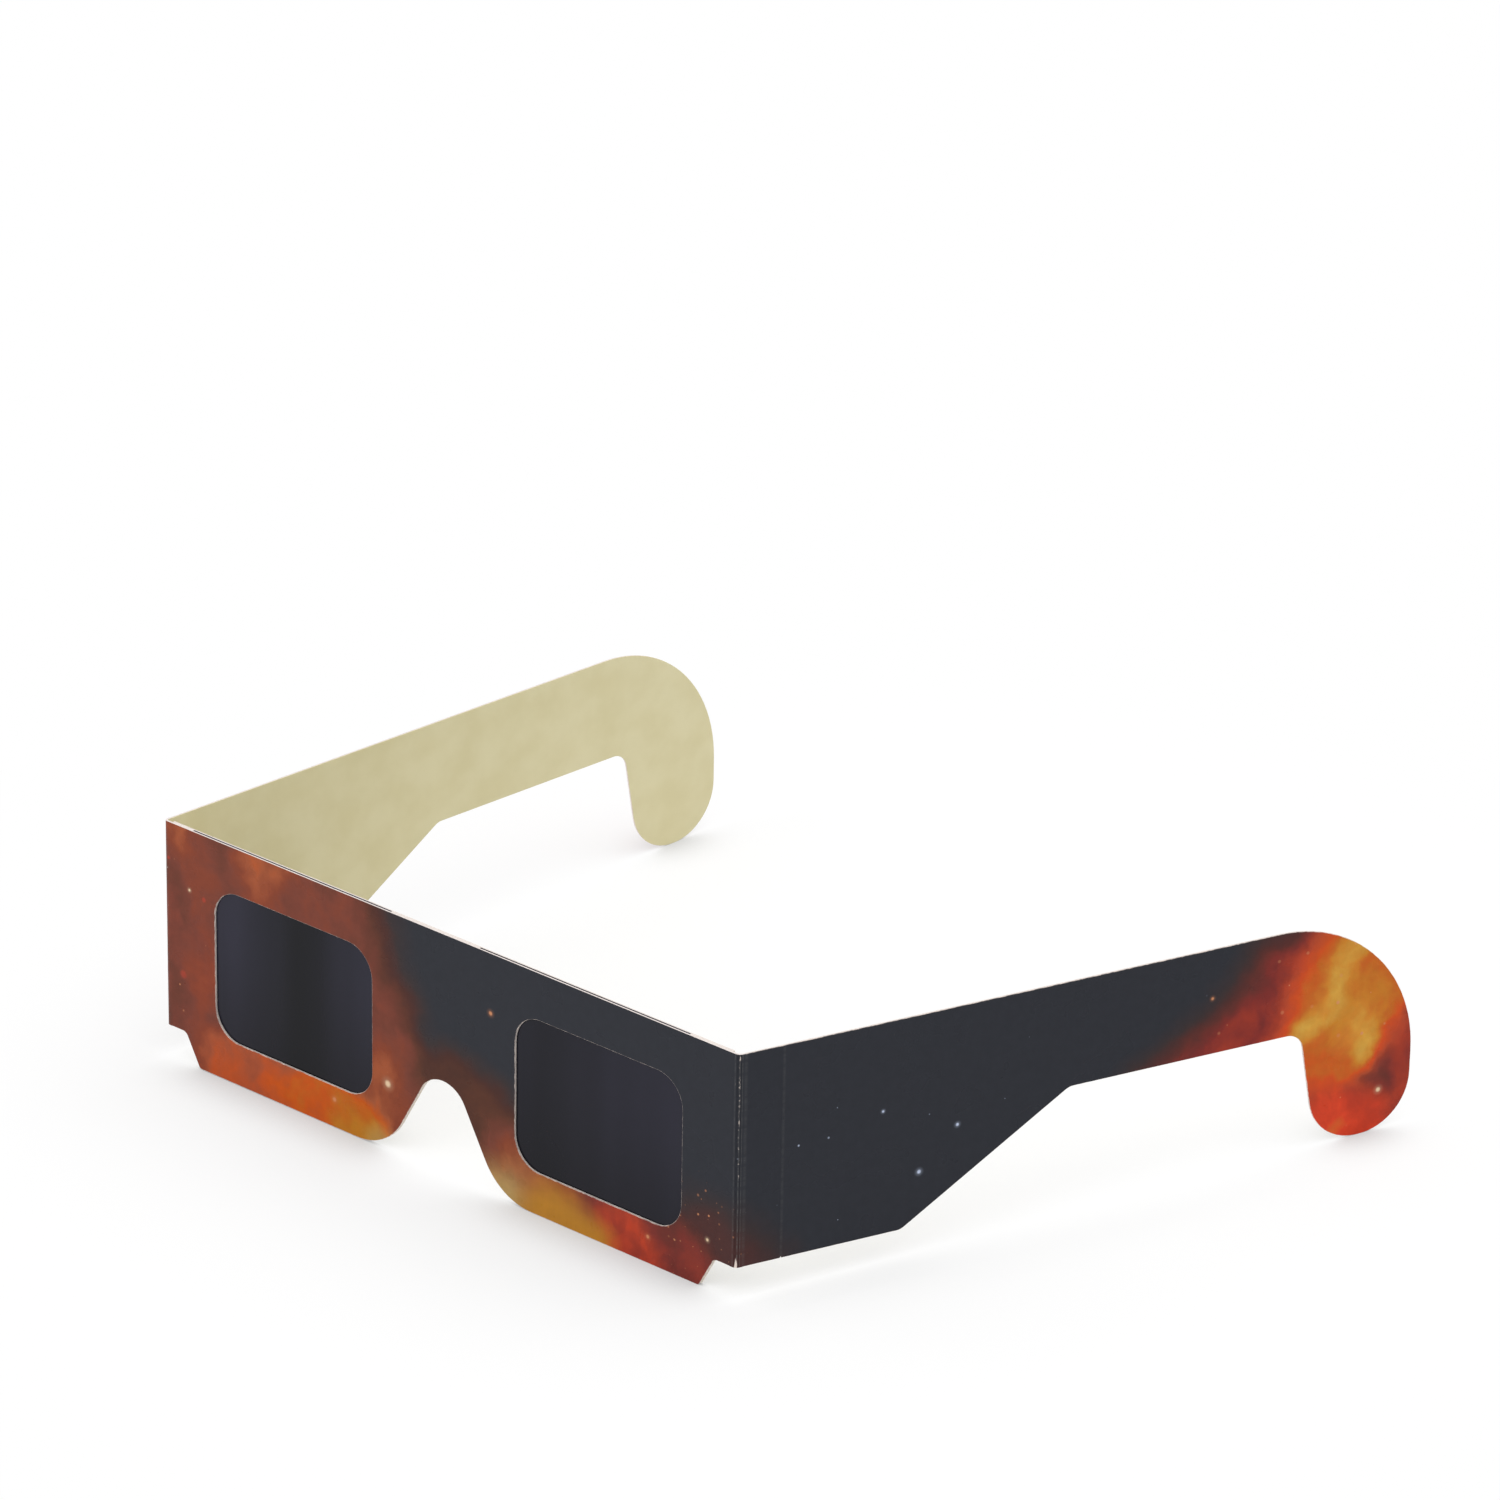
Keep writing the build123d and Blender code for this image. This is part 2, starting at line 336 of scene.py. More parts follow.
# Score lines in the corners, the dark ones painted shade and the pale ones painted highlight:
# place across, width, ink, strength, share of the ink that is cracked off
SCORE_SHADE, SCORE_HIGHLIGHT, BARE_BOARD = ink_colour("0c0c10"), ink_colour("70706f"), ink_colour("e6d6cc")
CORNER_LINES = [
    (69.20, 0.22, SCORE_HIGHLIGHT, 0.22, 0.12),
    (69.65, 0.32, SCORE_SHADE, 0.38, 0.0),
    (70.08, 0.19, SCORE_HIGHLIGHT, 0.42, 0.225),
    (70.33, 0.18, SCORE_SHADE, 0.50, 0.0),
    (70.58, 0.18, SCORE_HIGHLIGHT, 0.30, 0.12),
    (71.25, 0.55, SCORE_HIGHLIGHT, 0.14, 0.0),
]
# A painted highlight along the second score, further along each temple: place across, width, strength
SECOND_LINE = (78.7, 0.45, 0.12)
# The foot of the right-hand corner, worn down to the board: middle, reach, core
WORN_FOOT = ((69.9, 6.2), (0.28, 2.3), 0.6)
# Cloudy noise in the ink and the laminate: clouds to the millimetre, detail, roughness
STIRS, FINE_STIRS, WISPS = (0.07, 3.0, 0.45), (0.3, 4.0, 0.6), (0.14, 5.0, 0.52)
SHEEN_STREAKS, MOTTLES, CHIPS = (1.0, 5.0, 0.6), (0.5, 5.0, 0.6), (0.7, 5.0, 0.6)
GLOSS_DRIFTS, SWELLS, TOOTH = (0.12, 3.0), (0.06, 2.0), (3.0, 2.0)
# How the noise is drawn out across, up and deep: a small number draws it long
WISP_STRETCH, SHEEN_STRETCH = (1.0, 0.8, 1.0), (0.9, 0.05, 1.0)
# Cloudy noise keeps nearly all of its values between the first two, and its colours round the third
NOISE_LOW, NOISE_HIGH, NOISE_MIDDLE = 0.3, 0.7, (0.5, 0.5, 0.5)
# How far the noise stirs the ink across and up: broadly, finely, and where it is worn off
STIR_REACH, FINE_STIR_REACH, WORN_REACH = (13.0, 8.0, 0.0), (2.0, 1.6, 0.0), (0.5, 0.5, 0.0)
# Wisps sway the heat of the glow, further in the red than in the brown, and leave the dark of the night
NIGHT_HEAT, GLOW_HEAT = 0.08, 0.45
STILL_BROWN, BROWN_SWAY, RED_SWAY = 0.3, 0.06, 0.09
WISPS_LOW, WISPS_HIGH = 0.28, 0.72
# Shares by which painted sheen streaks and mottles lighten and darken the ink, and by which a rim loses it
SHEEN_SHARE, MOTTLE_SHARE = 0.015, 0.04
CHIPS_LOW, CHIPS_HIGH, LEAST_CHIPPED, MOST_CHIPPED = 0.38, 0.62, 0.15, 0.75
# Roughness of the laminate at its glossiest and its dullest, and what a score adds
GLOSSIEST, DULLEST, SCORE_DULLING = 0.26, 0.34, 0.15
PRINTED_GLOSS = 0.12
# Heights of the laminate's swells and its tooth, in millimetres
SWELL_HEIGHT, TOOTH_HEIGHT = 0.04, 0.0014

printed_face, tree, shader = start_material("printed_gloss_card")
flat_place = strip_place(tree)
stir = move(tree, "SUBTRACT", clouds(tree, flat_place, *STIRS, output="Color"), NOISE_MIDDLE)
fine_stir = move(tree, "SUBTRACT", clouds(tree, flat_place, *FINE_STIRS, output="Color"), NOISE_MIDDLE)
stirred = move(tree, "ADD", flat_place, move(tree, "MULTIPLY", stir, STIR_REACH))
stirred = move(tree, "ADD", stirred, move(tree, "MULTIPLY", fine_stir, FINE_STIR_REACH))
stirred_finely = move(tree, "ADD", flat_place, move(tree, "MULTIPLY", fine_stir, WORN_REACH))
glow = NO_GLOW
for heat, redness, across, up, wide, high, lean, core, strength in GLOW:
    mask = cloud_mask(tree, stirred, (across, up), (wide, high), core, lean)
    glow = mix(tree, calculate(tree, "MULTIPLY", mask, strength), glow, (heat, redness, 0.0), "VECTOR")
heat, redness = split(tree, glow)[:2]
wisps = clouds(tree, move(tree, "MULTIPLY", stirred, WISP_STRETCH), *WISPS)
sway = ease(tree, redness, STILL_BROWN, 1.0, BROWN_SWAY, RED_SWAY)
sway = calculate(tree, "MULTIPLY", ease(tree, wisps, WISPS_LOW, WISPS_HIGH, -1.0, 1.0), sway)
sway = calculate(tree, "MULTIPLY", ease(tree, heat, NIGHT_HEAT, GLOW_HEAT), sway)
heat = calculate(tree, "ADD", heat, sway)
colour = mix(tree, redness, colour_scale(tree, heat, BROWN_GLOW), colour_scale(tree, heat, RED_GLOW))
for ink, across, up, wide, high, strength in GOLD_DUST:
    dust = cloud_mask(tree, stirred, (across, up), (wide, high), GOLD_CORE)
    colour = lay_ink(tree, colour, ink_colour(ink), dust, strength)
# Painted sheen in faint upright streaks, and mottles in the ink, lighten and darken the colour
sheen_streaks = clouds(tree, move(tree, "MULTIPLY", flat_place, SHEEN_STRETCH), *SHEEN_STREAKS)
sheen_streaks = ease(tree, sheen_streaks, NOISE_LOW, NOISE_HIGH, 1 - SHEEN_SHARE, 1 + SHEEN_SHARE)
mottles = clouds(tree, flat_place, *MOTTLES)
mottles = ease(tree, mottles, NOISE_LOW, NOISE_HIGH, 1 - MOTTLE_SHARE, 1 + MOTTLE_SHARE)
sheen_and_mottle = calculate(tree, "MULTIPLY", sheen_streaks, mottles)
grey = place_node(tree, "ShaderNodeCombineColor", {0: sheen_and_mottle, 1: sheen_and_mottle, 2: sheen_and_mottle}).outputs[0]
colour = mix(tree, 1.0, colour, grey, how="MULTIPLY")
for spacing, size, share, ink, middle, reach in STAR_FIELDS:
    specks = use_group(tree, star_field, {"Place": flat_place, "Spacing": spacing, "Size": size,
                                          "Share": share})["Mask"]
    near = cloud_mask(tree, flat_place, middle, reach, FIELD_CORE)
    colour = lay_ink(tree, colour, ink, specks, near)
for ink, across, up, size in BRIGHT_STARS:
    for size_share, core, strength in STAR_PARTS:
        light = cloud_mask(tree, flat_place, (across, up), (size * size_share, size * size_share), core)
        colour = lay_ink(tree, colour, ink, light, strength)
creased = 0.0
# The score lines lay painted shade and painted highlight, and their cracks show the bare board
for at, width, ink, strength, cracking in CORNER_LINES:
    pressed = use_group(tree, scored_line, {"Place": flat_place, "At": at, "Width": width,
                                            "Cracking": cracking})
    colour = lay_ink(tree, colour, ink, pressed["Line"], strength)
    colour = mix(tree, pressed["Cracks"], colour, BARE_BOARD)
    creased = calculate(tree, "MAXIMUM", creased, pressed["Line"])
colour = mix(tree, cloud_mask(tree, stirred_finely, *WORN_FOOT), colour, BARE_BOARD)
at, width, strength = SECOND_LINE
pressed = use_group(tree, scored_line, {"Place": flat_place, "At": at, "Width": width, "Cracking": 0.0})
colour = lay_ink(tree, colour, SCORE_HIGHLIGHT, pressed["Line"], strength)
worn_rim = place_node(tree, "ShaderNodeAttribute", attribute_name="rim").outputs["Fac"]
chipped = ease(tree, clouds(tree, flat_place, *CHIPS), CHIPS_LOW, CHIPS_HIGH, LEAST_CHIPPED, MOST_CHIPPED)
colour = lay_ink(tree, colour, BARE_BOARD, worn_rim, chipped)
dullness = ease(tree, clouds(tree, flat_place, *GLOSS_DRIFTS), NOISE_LOW, NOISE_HIGH, GLOSSIEST, DULLEST)
dullness = calculate(tree, "ADD", dullness, calculate(tree, "MULTIPLY", creased, SCORE_DULLING))
swell = calculate(tree, "MULTIPLY", clouds(tree, flat_place, *SWELLS), SWELL_HEIGHT)
tooth = calculate(tree, "MULTIPLY", clouds(tree, flat_place, *TOOTH), TOOTH_HEIGHT)
height = calculate(tree, "ADD", swell, tooth)
fill_sockets(tree, shader, {"Base Color": colour, "Roughness": dullness,
                            "Specular IOR Level": PRINTED_GLOSS, "Normal": relief(tree, height, MM)})

# Cut edge of the board: white fibre, faintly rosy beside the print and dusty with use
EDGE_FIBRES, EDGE_STRETCH = (1.6, 5.0, 0.65), (1.0, 1.0, 9.0)
EDGE_FIBRE_HEIGHT = 0.03 * MM
DUSTY_BELOW, WHITE_ABOVE = 0.35, 0.68
DUSTY_FIBRE, WHITE_FIBRE = ink_colour("d8ccc7"), ink_colour("f0e7e3")
cut_edge, tree, shader = start_material("cut_board_edge")
fibre = clouds(tree, move(tree, "MULTIPLY", strip_place(tree), EDGE_STRETCH), *EDGE_FIBRES)
colour = mix(tree, ease(tree, fibre, DUSTY_BELOW, WHITE_ABOVE), DUSTY_FIBRE, WHITE_FIBRE)
fill_sockets(tree, shader, {"Base Color": colour, "Roughness": 0.85, "Specular IOR Level": 0.2,
                            "Normal": relief(tree, fibre, EDGE_FIBRE_HEIGHT)})

# Bare inside of the board: cream, uncoated and matt, with short fibres and faint mottling
CREAM_MOTTLES = (0.12, 5.0, 0.5)
SHORT_FIBRES, FIBRE_STRETCH = (2.4, 5.0, 0.7), (0.35, 1.5, 1.0)
FIBRES_FROM, FIBRES_TO, FIBRE_STRENGTH = 0.58, 0.76, 0.25
FIBRE_HEIGHT = 0.02 * MM
CREAM, PALE_CREAM, TAN_FIBRE = ink_colour("d4cba2"), ink_colour("dad2ac"), ink_colour("c6bd92")
bare_board, tree, shader = start_material("bare_cream_board")
flat_place = strip_place(tree)
mottles = ease(tree, clouds(tree, flat_place, *CREAM_MOTTLES), NOISE_LOW, NOISE_HIGH)
fibres = clouds(tree, move(tree, "MULTIPLY", flat_place, FIBRE_STRETCH), *SHORT_FIBRES)
colour = mix(tree, mottles, CREAM, PALE_CREAM)
fibrous = ease(tree, fibres, FIBRES_FROM, FIBRES_TO, 0.0, FIBRE_STRENGTH)
colour = mix(tree, fibrous, colour, TAN_FIBRE)
fill_sockets(tree, shader, {"Base Color": colour, "Roughness": 0.8, "Specular IOR Level": 0.25,
                            "Normal": relief(tree, fibres, FIBRE_HEIGHT)})

# What each side of a board is made of: its face, its cut edge and its inside
PRINTED_BOARD, PLAIN_BOARD = (printed_face, cut_edge, bare_board), (bare_board, cut_edge, bare_board)
# Turns between two faces: under the first they are one flat face, past the second their edge is sharp,
# and past the third it is a cut rim
FLAT_TURN, SHARP_TURN, RIM_TURN = radians(0.5), radians(18), radians(60)
# How near is near enough: to merge two corners, to cut through a corner that is there, and to lie on a line
MERGE_REACH, CUT_REACH, NEAR = 0.002 * MM, 0.0001 * MM, 0.01 * MM
# Shares of a board's depth: its face stays above the first, its inside lies below the second, and an
# eased rim of its face dips past the third
FACE_SHARE, INSIDE_SHARE, EASED_SHARE = 0.3, 0.8, 0.02


def copied_board(node_name):
    """A CAD board's shape as a mesh of whole faces, its doubled corners merged."""
    board = bmesh.new()
    board.from_mesh(frame["nodes"][node_name].data)
    bmesh.ops.remove_doubles(board, verts=board.verts, dist=MERGE_REACH)
    bmesh.ops.dissolve_limit(board, angle_limit=FLAT_TURN, verts=board.verts, edges=board.edges)
    return board


def cut_across(shape, place, direction):
    """Cut new edges in a shape where the plane through a place, square to a direction, crosses it."""
    bmesh.ops.bisect_plane(shape, geom=shape.verts[:] + shape.edges[:] + shape.faces[:], dist=CUT_REACH,
                           plane_co=place, plane_no=direction)


def ease_rims(board, is_joined):
    """Round the cut rims a little, but for those where the strip goes on or another board joins."""
    rims = [edge for edge in board.edges if edge.calc_face_angle(0.0) > RIM_TURN
            and not all(is_joined(corner.co) for corner in edge.verts)]
    bmesh.ops.bevel(board, geom=rims, offset=RIM_EASE, segments=2, profile=0.5, affect="EDGES",
                    clamp_overlap=True)


def on_film_rim(point, film_side):
    """Whether a point lies on a board's top rim, on the side that faces the films."""
    return abs(point.z - front_high.z) < NEAR and abs(point.y - film_side) < NEAR


def open_rims(board, film_side):
    """Chamfer the top rim over each film, where die cutting presses the boards apart."""
    for side_name in ("left", "right"):
        film_low, film_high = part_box(f"filter_film_{side_name}")
        for end in (film_low.x, film_high.x):
            cut_across(board, (end, 0, 0), (1, 0, 0))
        over_film = {corner for corner in board.verts if on_film_rim(corner.co, film_side)
                     and film_low.x - NEAR < corner.co.x < film_high.x + NEAR}
        rims = [edge for edge in board.edges if over_film.issuperset(edge.verts)]
        bmesh.ops.bevel(board, geom=rims, offset=OPEN_RIM, segments=1, affect="EDGES", clamp_overlap=True)


def place_object(name, data):
    """Put a mesh, a lamp or a camera into the scene as an object."""
    made = bpy.data.objects.new(name, data)
    bpy.context.scene.collection.objects.link(made)
    return made


def finish_shape(piece_name, shape, finishes):
    """Turn a worked shape into a piece, smooth but for its sharp turns."""
    mesh = bpy.data.meshes.new(piece_name)
    shape.to_mesh(mesh)
    shape.free()
    for finish in finishes:
        mesh.materials.append(finish)
    mesh.shade_smooth()
    mesh.set_sharp_from_angle(angle=SHARP_TURN)
    return place_object(piece_name, mesh)


def finish_board(piece_name, board, places, finishes):
    """Turn a board into a piece, and keep on it where it lies on the strip and which faces are eased rims.

    places gives each corner's millimetres across, up and deep, and finishes the materials of the board's
    face, cut edge and inside."""
    piece = finish_shape(piece_name, board, finishes)
    mesh = piece.data
    eased = []
    for side in mesh.polygons:
        depths = [places[corner][2] / CARD_THICKNESS for corner in side.vertices]
        is_face = max(depths) < FACE_SHARE
        is_inside = min(depths) > INSIDE_SHARE
        side.material_index = 0 if is_face else 2 if is_inside else 1
        eased.append(float(is_face and max(depths) > EASED_SHARE))
    in_millimetres = [value / MM for place in places for value in place]
    mesh.attributes.new("blank", "FLOAT_VECTOR", "POINT").data.foreach_set("vector", in_millimetres)
    mesh.attributes.new("rim", "FLOAT", "FACE").data.foreach_set("value", eased)
    return piece


def joins_front(point):
    """Whether a point of the front lies at a fold or on the rim that faces the films."""
    return abs(abs(point.x) - front_high.x) < NEAR or on_film_rim(point, front_high.y)


board = copied_board("front_card")
ease_rims(board, joins_front)
open_rims(board, front_high.y)
places = [(corner.co.x, corner.co.z - foot_level, corner.co.y) for corner in board.verts]
printed_front = finish_board("printed_front", board, places, PRINTED_BOARD)
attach(printed_front, "front")
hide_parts("front_card")

# Folded corners
# The same strip goes round each end of the front in a band scored twice, so that it bends between two
# lines. The laminate ripples there and its ink is cracked white.
CREASE_STRIP = 0.6 * MM
STRIP_SHARES = (0.35, 0.7, 1.0)
BEND_STEPS = 8
ROWS = 60
# The ripple's depth, how many columns make one, and how it varies from row to row
RIPPLE = 0.03 * MM
RIPPLE_COLUMNS = 2.7
RIPPLE_MEAN, RIPPLE_SWAY = 0.6, 0.8
SWAY_BY_COLUMN, SWAY_BY_ROW = 3.1, 0.45
joint_of = {joint["child"]: joint for joint in frame["joints"]}
folds = {}
for side_name, side in (("left", -1), ("right", 1)):
    joint = joint_of[f"temple_{side_name}"]
    axis = Vector((joint["pos_m"][0], joint["pos_m"][1], 0))
    angle = radians(-joint["range_deg"][0])
    folds[side_name] = (side, axis, angle)


def round_fold(side, axis, turn, radius):
    """The point at a turn round a fold's axis, and the ways outwards and onwards from there."""
    outwards = Vector((side * sin(turn), -cos(turn), 0))
    onwards = Vector((side * cos(turn), sin(turn), 0))
    return axis + outwards * radius, outwards, onwards


for side_name, (side, axis, angle) in folds.items():
    low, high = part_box(f"corner_crease_{side_name}")
    outer_radius = axis.y
    stations = [(0.0, -CREASE_STRIP * share) for share in reversed(STRIP_SHARES)]
    stations += [(angle * step / BEND_STEPS, 0.0) for step in range(BEND_STEPS + 1)]
    stations += [(angle, CREASE_STRIP * share) for share in STRIP_SHARES]
    band = bmesh.new()
    columns, places = [], []
    for index, (turn, along) in enumerate(stations):
        at_end = index in (0, len(stations) - 1)
        ripple = 0.0 if at_end else RIPPLE * (0.5 - 0.5 * cos(index * 2 * pi / RIPPLE_COLUMNS))
        column = []
        for row in range(ROWS + 1):
            up = low.z + (high.z - low.z) * row / ROWS
            sway = noise.noise(Vector((index * SWAY_BY_COLUMN, row * SWAY_BY_ROW, side)))
            sunk = max(ripple * (RIPPLE_MEAN + RIPPLE_SWAY * sway), 0.0)
            outer, _, onwards = round_fold(side, axis, turn, outer_radius - sunk)
            inner, _, _ = round_fold(side, axis, turn, outer_radius - CARD_THICKNESS)
            across = side * (abs(axis.x) + outer_radius * turn + along)
            for point, depth in ((outer, 0.0), (inner, CARD_THICKNESS)):
                column.append(band.verts.new((*(point + onwards * along).xy, up)))
                places.append((across, up - foot_level, depth))
        columns.append(list(zip(column[::2], column[1::2])))
    for this, following in zip(columns, columns[1:]):
        for row in range(ROWS):
            (outer, inner), (outer_above, inner_above) = this[row:row + 2]
            (next_outer, next_inner), (next_outer_above, next_inner_above) = following[row:row + 2]
            band.faces.new((outer, next_outer, next_outer_above, outer_above))
            band.faces.new((inner, inner_above, next_inner_above, next_inner))
        for pair, next_pair in ((this[0], following[0]), (following[-1], this[-1])):
            band.faces.new((*pair, *reversed(next_pair)))
    for column in (columns[0], columns[-1][::-1]):
        for (outer, inner), next_pair in zip(column, column[1:]):
            band.faces.new((outer, *next_pair, inner))
    bmesh.ops.recalc_face_normals(band, faces=band.faces)
    fold_band = finish_board(f"fold_band_{side_name}", band, places, PRINTED_BOARD)
    middle_radius = outer_radius - CARD_THICKNESS / 2
    start, _, _ = round_fold(side, axis, 0.0, middle_radius)
    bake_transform(fold_band)
    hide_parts(f"corner_crease_{side_name}")

# Temples
# The strip's two ends: a deep root, a narrow arm and a round hook for the ear. A second light score
# crosses each root, a little back from the corner, and leaves a small nick in its lower edge.
SECOND_SCORE = 8.1 * MM
SCORE_RISE = 0.05 * MM
# The score's section: millimetres either way of its line, and share of its rise
SCORE_SHARES = {-0.45: 0.0, -0.2: 0.6, 0.0: 1.0, 0.2: 0.6, 0.45: 0.0}
ON_SCORE = 0.02 * MM
ROOT_REACH = 20 * MM
NICK, NICKED_BAND = 0.35 * MM, 0.1 * MM


def from_fold(point, axis, outwards, onwards):
    """How far a point lies from a fold's axis, outwards and onwards."""
    level = Vector((point.x, point.y, 0)) - axis
    return level.dot(outwards), level.dot(onwards)


for side_name, (side, axis, angle) in folds.items():
    _, outwards, onwards = round_fold(side, axis, angle, 0.0)
    board = copied_board(f"temple_{side_name}")
    for place in SCORE_SHARES:
        cut_across(board, axis + onwards * (SECOND_SCORE + place * MM), onwards)
    root_foot = min(corner.co.z for corner in board.verts if (corner.co - axis).dot(onwards) < ROOT_REACH)
    ease_rims(board, lambda point: abs((point - axis).dot(onwards) - CREASE_STRIP) < NEAR)
    for corner in board.verts:
        radius, along = from_fold(corner.co, axis, outwards, onwards)
        share = next((rise for place, rise in SCORE_SHARES.items()
                      if abs(along - SECOND_SCORE - place * MM) < ON_SCORE), 0.0)
        if share and axis.y - radius < FACE_SHARE * CARD_THICKNESS:
            corner.co += outwards * SCORE_RISE * share
        if share == 1.0 and corner.co.z < root_foot + NICKED_BAND:
            corner.co.z += NICK
    places = []
    for corner in board.verts:
        radius, along = from_fold(corner.co, axis, outwards, onwards)
        across = side * (abs(axis.x) + axis.y * angle + along)
        places.append((across, corner.co.z - foot_level, axis.y - radius))
    printed_temple = finish_board(f"printed_temple_{side_name}", board, places, PRINTED_BOARD)
    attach(printed_temple, f"temple_{side_name}")
    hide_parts(f"temple_{side_name}")

# Filter films
# Two black polymer films, each a little larger than its window, laid between the cards. Between the
# window's edges they are slightly slack, and a faint painted reflection lies in their colour in soft
# upright bands.
WINDOW_ACROSS = 37.35 * MM
WINDOW_HALF_WIDTH, WINDOW_HALF_HEIGHT = 19.85 * MM, 15.1 * MM
GRID = 1.4 * MM
SLACK = 0.12 * MM
# The slack's waves: how many across and up a window, where in the noise, how strong, and how they fade
WAVES_ACROSS, WAVES_UP, WAVE_LAYER = 0.9, 0.55, 2.3
WAVE_APART, WAVE_STRENGTH, WAVE_FADE = 4.0, 1.6, 0.7
PRESSED_EDGE = 0.12 * MM
# The painted reflection leaves a dark band in the left window, and grows towards the right one's outer end
DARK_MIDDLE, DARK_REACH = 35.3 * MM, 19 * MM
LEAST_REFLECTION_SHARE, FOOT_REFLECTION_SHARE = 0.05, 0.45
SIDE_REFLECTION = 0.9
REFLECTION_FOOT, REFLECTION_TOP = -1.2 * WINDOW_HALF_HEIGHT, 0.6 * WINDOW_HALF_HEIGHT
# Bands to the metre, across, deep and up, where in their noise they start and end, and their painted
# reflection
BANDS_TO_METRE = (90, 0, 6)
BANDS_FROM, BANDS_TO, BAND_REFLECTION = 0.4, 0.75, 0.2
FILM_BLACK, FILM_REFLECTION = ink_colour("08080f"), ink_colour("282735")
# Roughness of the film at its glossiest and its dullest, and its clouds to the metre with their detail
GLOSSIEST_FILM, DULLEST_FILM, FILM_DRIFTS = 0.08, 0.13, (300.0, 4.0)
film_gloss, tree, shader = start_material("black_filter_film")
place = place_node(tree, "ShaderNodeTexCoord").outputs["Object"]
axes = split(tree, place)
from_dark = calculate(tree, "ABSOLUTE", calculate(tree, "ADD", axes["X"], DARK_MIDDLE))
left_reflection = ease(tree, from_dark, 0.0, DARK_REACH)
right_reflection = ease(tree, axes["X"], 0.0, WINDOW_ACROSS * 2, LEAST_REFLECTION_SHARE, 1.0)
on_right = calculate(tree, "GREATER_THAN", axes["X"], 0.0)
on_left = calculate(tree, "SUBTRACT", 1.0, on_right)
painted_reflection = calculate(tree, "ADD", calculate(tree, "MULTIPLY", right_reflection, on_right),
                 calculate(tree, "MULTIPLY", left_reflection, on_left))
reflection_bands = clouds(tree, move(tree, "MULTIPLY", place, BANDS_TO_METRE), 1.0, detail=1.0)
reflection_bands = ease(tree, reflection_bands, BANDS_FROM, BANDS_TO, 0.0, BAND_REFLECTION)
painted_reflection = calculate(tree, "ADD", calculate(tree, "MULTIPLY", painted_reflection, SIDE_REFLECTION), reflection_bands)
# The painted reflection is weaker towards the foot of the films
upper = ease(tree, axes["Z"], REFLECTION_FOOT, REFLECTION_TOP, FOOT_REFLECTION_SHARE, 1.0)
painted_reflection = calculate(tree, "MULTIPLY", upper, painted_reflection)
drifts = clouds(tree, place, *FILM_DRIFTS)
roughness = ease(tree, drifts, NOISE_LOW, NOISE_HIGH, GLOSSIEST_FILM, DULLEST_FILM)
fill_sockets(tree, shader, {"Base Color": mix(tree, painted_reflection, FILM_BLACK, FILM_REFLECTION),
                            "Roughness": roughness, "Specular IOR Level": 0.15})
for side_name, (side, _, _) in folds.items():
    film = copied_board(f"filter_film_{side_name}")
    low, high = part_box(f"filter_film_{side_name}")
    for start, stop, direction in ((low.x, high.x, Vector((1, 0, 0))), (low.z, high.z, Vector((0, 0, 1)))):
        steps = int((stop - start) / GRID)
        for step in range(1, steps):
            cut_across(film, direction * (start + (stop - start) * step / steps), direction)
    cut_across(film, (0, 0, high.z - OPEN_RIM), (0, 0, 1))
    for corner in film.verts:
        if corner.co.z > high.z - NEAR:
            corner.co.y += PRESSED_EDGE if corner.co.y > (low.y + high.y) / 2 else -PRESSED_EDGE
        across = (corner.co.x - side * WINDOW_ACROSS) / WINDOW_HALF_WIDTH
        up = corner.co.z / WINDOW_HALF_HEIGHT
        if abs(across) < 1 and abs(up) < 1:
            free = ((1 - across ** 2) * (1 - up ** 2)) ** WAVE_FADE
            in_noise = Vector((across * WAVES_ACROSS + side * WAVE_APART, up * WAVES_UP, WAVE_LAYER))
            wave = noise.noise(in_noise) * WAVE_STRENGTH
            corner.co.y += SLACK * free * wave
    dark_film = finish_shape(f"dark_film_{side_name}", film, (film_gloss,))
    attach(dark_film, "front")
    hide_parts(f"filter_film_{side_name}")

# Glue
# White glue that has set clear of the films, between the two cards: a strip at each end and a patch in
# the bridge. Only its edge shows.
GLUE_LUMPS = (900.0, 4.0)
GLUE_SHADE, GLUE_WHITE = ink_colour("cdc6b8"), ink_colour("e6e2d8")
set_glue, tree, shader = start_material("set_white_glue")
place = place_node(tree, "ShaderNodeTexCoord").outputs["Object"]
colour = mix(tree, clouds(tree, place, *GLUE_LUMPS), GLUE_SHADE, GLUE_WHITE)
fill_sockets(tree, shader, {"Base Color": colour, "Roughness": 0.6})
glue_sheet = frame["nodes"]["glue_sheet"]
glue_sheet.data.materials.clear()
glue_sheet.data.materials.append(set_glue)

# Plain back card
# A second die-cut board, cream and unprinted on both sides. It is glued behind the front, so that it
# closes over the films, and stops short of the folds.
back_low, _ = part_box("back_card")
board = copied_board("back_card")
ease_rims(board, lambda point: on_film_rim(point, back_low.y))
open_rims(board, back_low.y)
places = [(corner.co.x, corner.co.z - foot_level, corner.co.y - back_low.y) for corner in board.verts]
plain_back = finish_board("plain_back", board, places, PLAIN_BOARD)
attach(plain_back, "front")
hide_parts("back_card")

# Table, lights and camera
# A white sweep under soft light. The glasses stand on the foot of the front and on both hooks, so the
# table is the plane through those three points.
TABLE_HALF = 3.0


def corners_of(node_name):
    """The corners of a CAD node."""
    return [corner.co for corner in frame["nodes"][node_name].data.vertices]


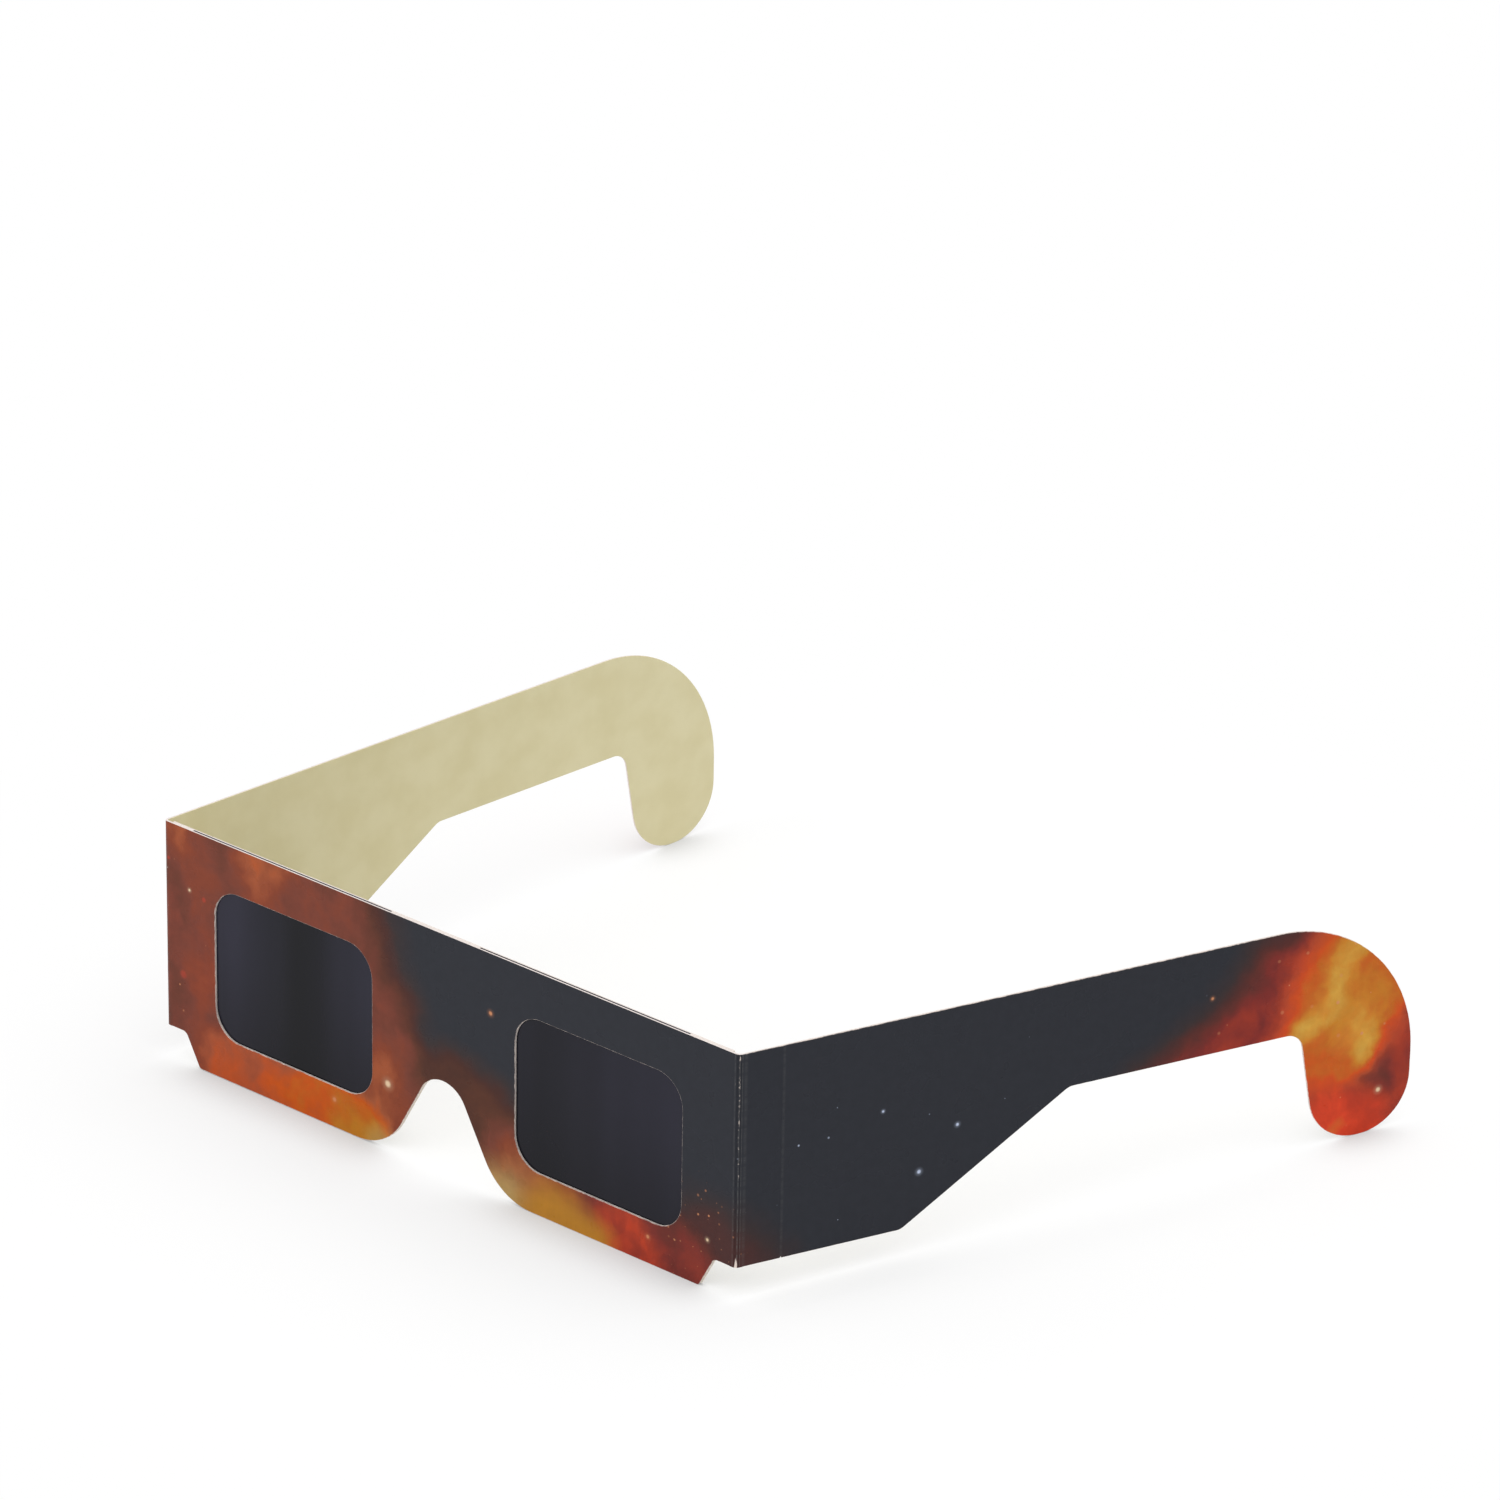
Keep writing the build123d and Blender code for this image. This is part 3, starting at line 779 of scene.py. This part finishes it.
hook_left = min(corners_of("temple_left"), key=lambda co: co.z)
hook_right = min(corners_of("temple_right"), key=lambda co: co.z)
foot = max((co for co in corners_of("front_card") if co.z <= foot_level + NEAR), key=lambda co: co.x)
table_up = (hook_right - foot).cross(hook_left - foot).normalized()
table_along = Vector((0, 1, 0)).cross(table_up).normalized()
table_deep = table_up.cross(table_along)
table_corners = [tuple(foot + table_along * along * TABLE_HALF + table_deep * deep * TABLE_HALF)
                 for along, deep in ((-1, -1), (1, -1), (1, 1), (-1, 1))]
table_mesh = bpy.data.meshes.new("table")
table_mesh.from_pydata(table_corners, [], [(0, 1, 2, 3)])
table = place_object("table", table_mesh)


def seen_plainly(tree):
    """1 for what the camera sees, straight or by gloss or glass, and 0 for what lights the glasses."""
    ray = place_node(tree, "ShaderNodeLightPath").outputs
    mirrored = calculate(tree, "MAXIMUM", ray["Is Glossy Ray"], ray["Is Transmission Ray"])
    return calculate(tree, "MAXIMUM", ray["Is Camera Ray"], mirrored)


# The table keeps some real shade near the glasses, has a painted contact shadow where they stand, and is
# plain white beyond
TABLE_WHITE = (0.93, 0.93, 0.93, 1.0)
GLASSES_MIDDLE = (0.02, 0.06, -0.02)
WHITENS_FROM, WHITENS_TO, WHITE_SHARE_NEAR = 0.05, 0.2, 0.65
CONTACT_REACH, DARKEST_CONTACT = 0.016, 0.42
CLOSED_IN, OPEN_AROUND = 0.2, 0.95
white_table, tree, shader = start_material("white_table")
fill_sockets(tree, shader, {"Base Color": TABLE_WHITE, "Roughness": 0.9, "Specular IOR Level": 0.0})
place = place_node(tree, "ShaderNodeTexCoord").outputs["Object"]
away = distance(tree, place, GLASSES_MIDDLE)
around = place_node(tree, "ShaderNodeAmbientOcclusion", {"Distance": CONTACT_REACH}, samples=16)
brightness = ease(tree, around.outputs["AO"], CLOSED_IN, OPEN_AROUND, DARKEST_CONTACT, 1.0)
white = place_node(tree, "ShaderNodeEmission", {"Color": (1, 1, 1, 1), "Strength": brightness})
whitened = ease(tree, away, WHITENS_FROM, WHITENS_TO, WHITE_SHARE_NEAR, 1.0)
whitened = calculate(tree, "MULTIPLY", seen_plainly(tree), whitened)
blend = place_node(tree, "ShaderNodeMixShader", {0: whitened, 1: shader.outputs[0], 2: white.outputs[0]})
fill_sockets(tree, tree.nodes["Material Output"], {"Surface": blend.outputs[0]})
table_mesh.materials.append(white_table)

# A white room, which lights the glasses less than it shows
ROOM_LIGHT = 0.66
world = bpy.data.worlds.new("white_room")
bpy.context.scene.world = world
world.use_nodes = True
tree = world.node_tree
shown = calculate(tree, "MULTIPLY", seen_plainly(tree), 1 - ROOM_LIGHT)
strength = calculate(tree, "ADD", ROOM_LIGHT, shown)
fill_sockets(tree, tree.nodes["Background"], {"Color": (1, 1, 1, 1), "Strength": strength})

# Two soft lamps, turned to the glasses: name, place in millimetres, size in metres, power in watts
LAMPS = (("soft_top", (350, 500, 1250), 1.2, 9.0), ("soft_front", (-350, -1000, 800), 1.0, 5.0))
AIM = Vector((20, 50, 0)) * MM
for name, place, size, power in LAMPS:
    lamp = bpy.data.lights.new(name, "AREA")
    lamp.shape = "SQUARE"
    lamp.size = size
    lamp.energy = power
    light = place_object(name, lamp)
    light.location = Vector(place) * MM
    light.rotation_euler = (AIM - light.location).to_track_quat("-Z", "Y").to_euler()

# A long lens, from the right and above
CAMERA_PLACE = Vector((878.50, -926.39, 636.95)) * MM
CAMERA_RIGHT = Vector((0.749015, 0.662356, 0.016153))
CAMERA_BACK = Vector((0.598767, -0.687142, 0.411478))
LENS, SENSOR_WIDTH = 192.0, 36.0
NEAREST, FURTHEST = 0.05, 20.0
camera_lens = bpy.data.cameras.new("camera")
camera_lens.sensor_width = SENSOR_WIDTH
camera_lens.lens = LENS
camera_lens.clip_start, camera_lens.clip_end = NEAREST, FURTHEST
camera = place_object("camera", camera_lens)
turned = Matrix((CAMERA_RIGHT, CAMERA_BACK.cross(CAMERA_RIGHT), CAMERA_BACK)).transposed()
camera.matrix_world = Matrix.Translation(CAMERA_PLACE) @ turned.to_4x4()
bpy.context.scene.camera = camera
bpy.context.scene.view_settings.view_transform = "Standard"
